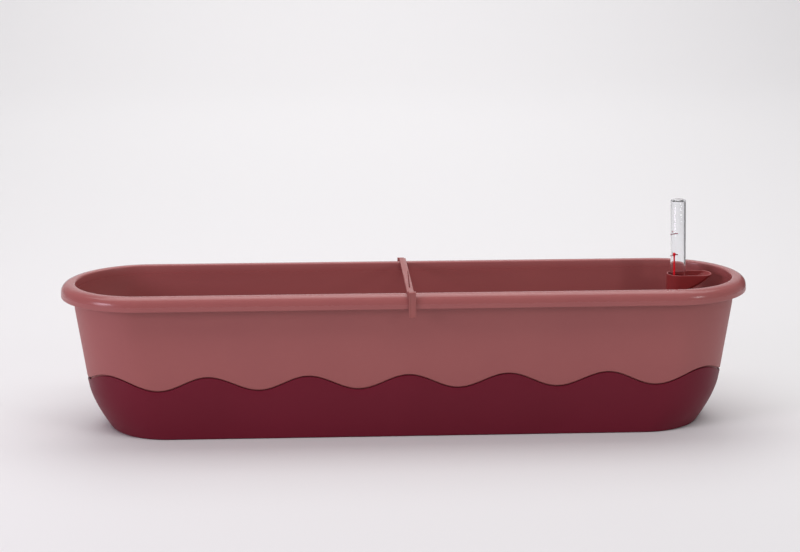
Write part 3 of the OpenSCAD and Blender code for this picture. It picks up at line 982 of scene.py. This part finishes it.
def wick_path(x):
    """Middle line of a wick, from the water up through the slot and along the floor."""
    path = [(x + 0.12 * math.sin(0.35 * k), WICK_FOOT + 46.0 * k / 16) for k in range(17)]
    top = FLOOR_TOP + WICK_T / 2
    bend_x, bend_z = x + BEND_R, top - BEND_R
    path.append((x, bend_z))
    for k in range(1, 9):
        a = math.radians(180 - 90 * k / 8)
        path.append((bend_x + BEND_R * math.cos(a), bend_z + BEND_R * math.sin(a)))
    path += [(bend_x + (x + WICK_LIE - bend_x) * k / 14, top + 0.06 * math.sin(0.9 * k))
             for k in range(1, 15)]
    return path


def felt_strip(name, x, seed):
    """A closed felt strip along the path, with a rounded rectangle as its cross-section."""
    path = wick_path(x)
    rings = []
    for k, (px, pz) in enumerate(path):
        before, after = path[max(k - 1, 0)], path[min(k + 1, len(path) - 1)]
        along = Vector((after[0] - before[0], after[1] - before[1])).normalized()
        out = Vector((-along.y, along.x))
        thin = 0.82 if k in (0, len(path) - 1) else 1.0
        ring = []
        for side in (1, -1):
            edge = WICK_W / 2 + 0.22 * math.sin(1.7 * k + seed + side)
            for a in range(-90, 91, 30):
                swell = math.sin(math.radians(a)) * HALF_T * thin * side
                y = side * (edge - EDGE_R + EDGE_R * math.cos(math.radians(a)))
                ring.append((px + out.x * swell, y, pz + out.y * swell))
            for step in (0.6, 0.2, -0.2, -0.6):
                swell = HALF_T * thin * side
                ring.append((px + out.x * swell, side * step * (edge - 1), pz + out.y * swell))
        rings.append(ring)
    strip = loft(name, rings, felt, closed=False)
    length = sum(math.hypot(b[0] - a[0], b[1] - a[1]) for a, b in zip(path, path[1:]))
    return strip, length


for number, x in enumerate(WICK_X, start=1):
    strip, strip_length = felt_strip(f"felt_wick_{number}", x, number)
    soften(strip, 70)
    stand_for(strip, "trough", f"wick_{number}")
print("wick length, mm:", round(strip_length, 1))


# %% [markdown]
# The brace clips over both long rims and stops soil from spreading them. It is a flat bar
# with a slanting slot, squared shoulders and a tab that hangs down outside each rim, set
# off a little to one side. It is built as one outline pushed sideways, cut to width, and
# then every edge gets a small bevel.

# %% Centre brace
BRACE_X, BRACE_W, TAB_W, TAB_SHIFT, TAB_Z = 1.0, 7.4, 7.9, 2.0, 145.0
RIM_R = WALL["Rim radius"]
UNDER, OUT = RIM_Z + 0.3, RIM_R + 3.0


def bar_top(y):
    """The bar is thick at the front rim and thins out towards the back rim."""
    return RIM_Z + 3.15 - 1.45 * y / OUT


def brace_end(end):
    """Section of one end, from the tab's corner to the inner hook; end is -1 or 1."""
    top = bar_top(end * OUT)
    corner = [(OUT - 1.4 + 1.4 * math.sin(a), top - 1.4 + 1.4 * math.cos(a))
              for a in (math.radians(15 * k) for k in range(7))]
    tab = [(OUT, TAB_Z + 0.9), (OUT - 0.9, TAB_Z), (OUT - 2.4, TAB_Z),
           (OUT - 2.6, TAB_Z + 0.5), (OUT - 2.6, 159.6)]
    over_rim = [(94.4, 163.9), (92.0, 167.0), (87.0, UNDER)]
    hook = [(77.6, UNDER), (77.0, 162.6), (76.4, 162.0), (75.4, 162.0), (74.8, 162.6),
            (73.8, UNDER)]
    return [(end * y, z) for y, z in corner + tab + over_rim + hook]


outline = brace_end(1) + brace_end(-1)[::-1]
all_w = TAB_W + 2 * TAB_SHIFT
on_side = moved(BRACE_X - all_w / 2, 0) @ turned(90, "Z") @ turned(90, "X")
brace = prism("brace", outline, 0, all_w, on_side)
EDGE = RIM_R - 2
SPARE = 5
cuts = []
for side in (-1, 1):
    middle = BRACE_X + side * (BRACE_W / 2 + SPARE)
    cuts.append(block("cut", (middle - SPARE, -EDGE, 150), (middle + SPARE, EDGE, 190)))
    for end in (-1, 1):
        middle = BRACE_X - end * TAB_SHIFT + side * (TAB_W / 2 + SPARE)
        low_y, high_y = sorted((end * EDGE, end * (EDGE + 20)))
        cuts.append(block("cut", (middle - SPARE, low_y, 130), (middle + SPARE, high_y, 190)))
for end in (-1, 1):  # a shallow panel in the face of each tab
    middle = BRACE_X - end * TAB_SHIFT
    low_y, high_y = sorted((end * (OUT - 0.45), end * (OUT + 1)))
    cuts.append(block("cut", (middle - 2.6, low_y, TAB_Z + 1.6),
                      (middle + 2.6, high_y, bar_top(end * OUT) - 2)))
slit = [(BRACE_X + x, y) for x, y in ((-0.8, -72), (0.8, -72), (2.9, 18), (2.3, 18))]
cuts.append(prism("slit", slit, 160, 190))
carve(brace, [], cuts)
bevel = brace.modifiers.new("edges", "BEVEL")
bevel.width = 0.3 * MM
bevel.segments = 2
bevel.limit_method = "ANGLE"
bevel.angle_limit = math.radians(35)
keep_result(brace)
brace.data.materials.clear()
brace.data.materials.append(brace_plastic)
soften(brace)
stand_for(brace, "brace", "centre_brace")


# %% [markdown]
# A photo studio for plastic ware is a seamless sweep of pale paper with large soft lights.
# The floor runs far back and curves up out of sight. A big overhead box gives the broad
# light on the rims and the shadow under them, and strips at both sides draw the bright
# streaks round the ends. A light above the front fills the walls, and is left out of the
# reflections, as it would draw a hard band on the polished rim. Two more lights are for the
# backdrop only. Clear plastic shows its edges by what it reflects and bends, so a black
# card stands to its right: only reflections and clear pieces see it, and it draws the
# tube's dark edge.

# %% Stage and light
sweep_mesh = bmesh.new()
profile = [(-4.0, 0.0), (3.0, 0.0)]
for k in range(1, 19):
    a = math.radians(5 * k)
    profile.append((3.0 + 2.0 * math.sin(a), 2.0 - 2.0 * math.cos(a)))
profile.append((5.0, 6.0))
rows = [[sweep_mesh.verts.new((x, y, z)) for x in (-7.0, 7.0)] for y, z in profile]
for a, b in zip(rows, rows[1:]):
    sweep_mesh.faces.new((a[0], a[1], b[1], b[0])).smooth = True
paper_data = bpy.data.meshes.new("stage_paper")
sweep_mesh.to_mesh(paper_data)
sweep_mesh.free()
stage_paper = bpy.data.objects.new("stage_paper", paper_data)
scene.collection.objects.link(stage_paper)
paper_look = bpy.data.materials.new("studio_paper")
paper_look.use_nodes = True
board = Board(paper_look.node_tree)
where = board.add("ShaderNodeTexCoord")["Object"]
fibre = noise(board, where, 700.0, 2.0)
tone = mix_colour(board, fibre, (0.81, 0.795, 0.80, 1), (0.84, 0.825, 0.83, 1))
paper = board.add("ShaderNodeBsdfPrincipled", {}, {"Base Color": tone, "Roughness": 0.75})[0]
board.add("ShaderNodeOutputMaterial", {}, {"Surface": paper})
stage_paper.data.materials.append(paper_look)

world = bpy.data.worlds.new("studio")
scene.world = world
world.use_nodes = True
board = Board(world.node_tree)
sky = board.add("ShaderNodeBackground", {}, {"Color": (0.97, 0.97, 1.0, 1), "Strength": 0.3})[0]
board.add("ShaderNodeOutputWorld", {}, {"Surface": sky})


def softbox(name, at, aim, size, power, colour=(1, 1, 1)):
    """A large rectangular light that points at a spot."""
    data = bpy.data.lights.new(name, "AREA")
    data.shape = "RECTANGLE"
    data.size, data.size_y = size
    data.energy = power
    data.color = colour
    light = bpy.data.objects.new(name, data)
    scene.collection.objects.link(light)
    towards = (Vector(aim) - Vector(at)).to_track_quat("-Z", "Y")
    light.matrix_world = Matrix.Translation(Vector(at)) @ towards.to_matrix().to_4x4()
    return light


softbox("overhead", (0.0, 0.45, 1.9), (0, 0.3, 0.0), (3.2, 1.0), 17.5)
front_top = softbox("front_top", (0.0, -0.9, 2.1), (0, -0.1, 0.1), (2.6, 0.6), 15)
front_top.visible_glossy = False
softbox("left_strip", (-1.93, -1.13, 0.75), (-0.3, 0, 0.12), (0.8, 0.6), 12,
        (1.0, 0.84, 1.0))
softbox("right_strip", (1.7, -1.6, 1.0), (0.35, 0, 0.12), (0.25, 0.5), 4.5)
softbox("backdrop_low", (0.0, 2.0, 2.4), (0, 2.0, 0.0), (2.2, 1.6), 18)
softbox("backdrop_high", (0.0, 2.6, 3.0), (0, 4.8, 0.8), (2.4, 1.0), 50)

CARD_X, NEAR, FAR, LOW, TOP = 0.82, 0.35, 1.1, 0.02, 0.45
corners = [(NEAR, LOW), (FAR, LOW), (FAR, TOP), (NEAR, TOP)]
flag_mesh = bmesh.new()
flag_mesh.faces.new([flag_mesh.verts.new((CARD_X, y, z)) for y, z in corners])
flag = as_piece("stage_flag", flag_mesh, black_plug)
flag.visible_camera = flag.visible_diffuse = flag.visible_shadow = False
